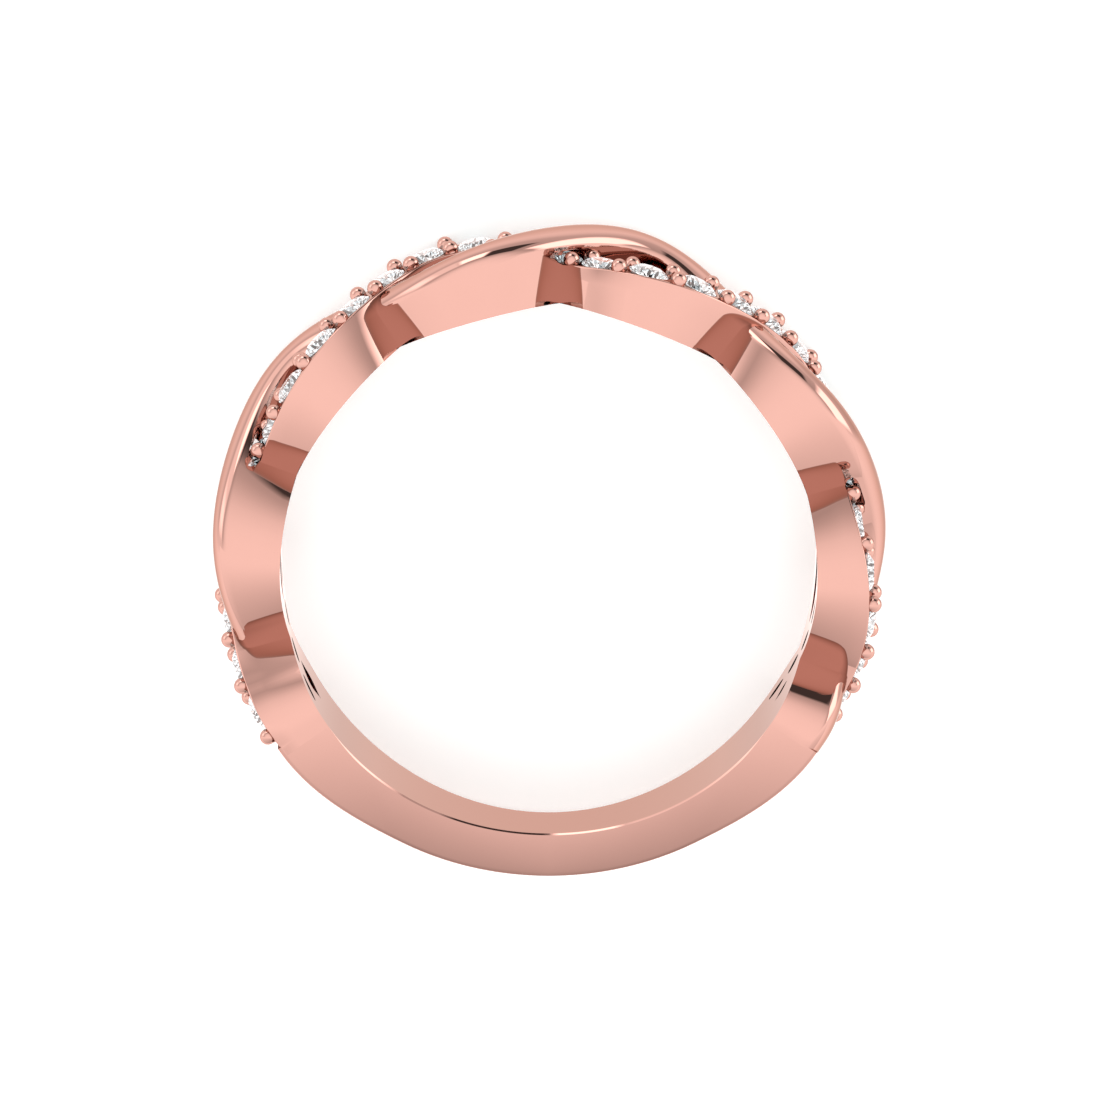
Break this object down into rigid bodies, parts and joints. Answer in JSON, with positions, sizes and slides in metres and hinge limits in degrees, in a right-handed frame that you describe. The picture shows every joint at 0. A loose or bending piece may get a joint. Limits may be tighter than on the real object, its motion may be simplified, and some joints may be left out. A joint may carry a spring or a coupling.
{
  "type": "half eternity ring",
  "caption": "Twisted finger ring lying on its side: a plain polished strand winds round a strand set with small round stones, and both run into a plain shank.",
  "frame": {"origin": "on the surface that the ring lies on, under the middle of its outer box", "axes": "+Z along the finger hole's axis, up from the side on which the ring lies; +Y towards the top of the twisted head, away from the plain shank; +X to the right"},
  "size_m": [0.0218, 0.021, 0.005],
  "materials": {
    "rose_gold": "mirror polished rose gold",
    "diamond": "clear, polished facets"
  },
  "bodies": {
    "root": {"band": "rose_gold", "stone_01": "diamond", "stone_02": "diamond", "stone_03": "diamond", "stone_04": "diamond", "stone_05": "diamond", "stone_06": "diamond", "stone_07": "diamond", "stone_08": "diamond", "stone_09": "diamond", "stone_10": "diamond", "stone_11": "diamond", "stone_12": "diamond", "stone_13": "diamond", "stone_14": "diamond", "stone_15": "diamond", "stone_16": "diamond", "stone_17": "diamond", "stone_18": "diamond", "stone_19": "diamond", "stone_20": "diamond", "stone_21": "diamond", "stone_22": "diamond", "stone_23": "diamond", "stone_24": "diamond", "stone_25": "diamond", "stone_26": "diamond", "stone_27": "diamond", "stone_28": "diamond", "stone_29": "diamond", "stone_30": "diamond", "stone_31": "diamond"}
  },
  "joints": []
}
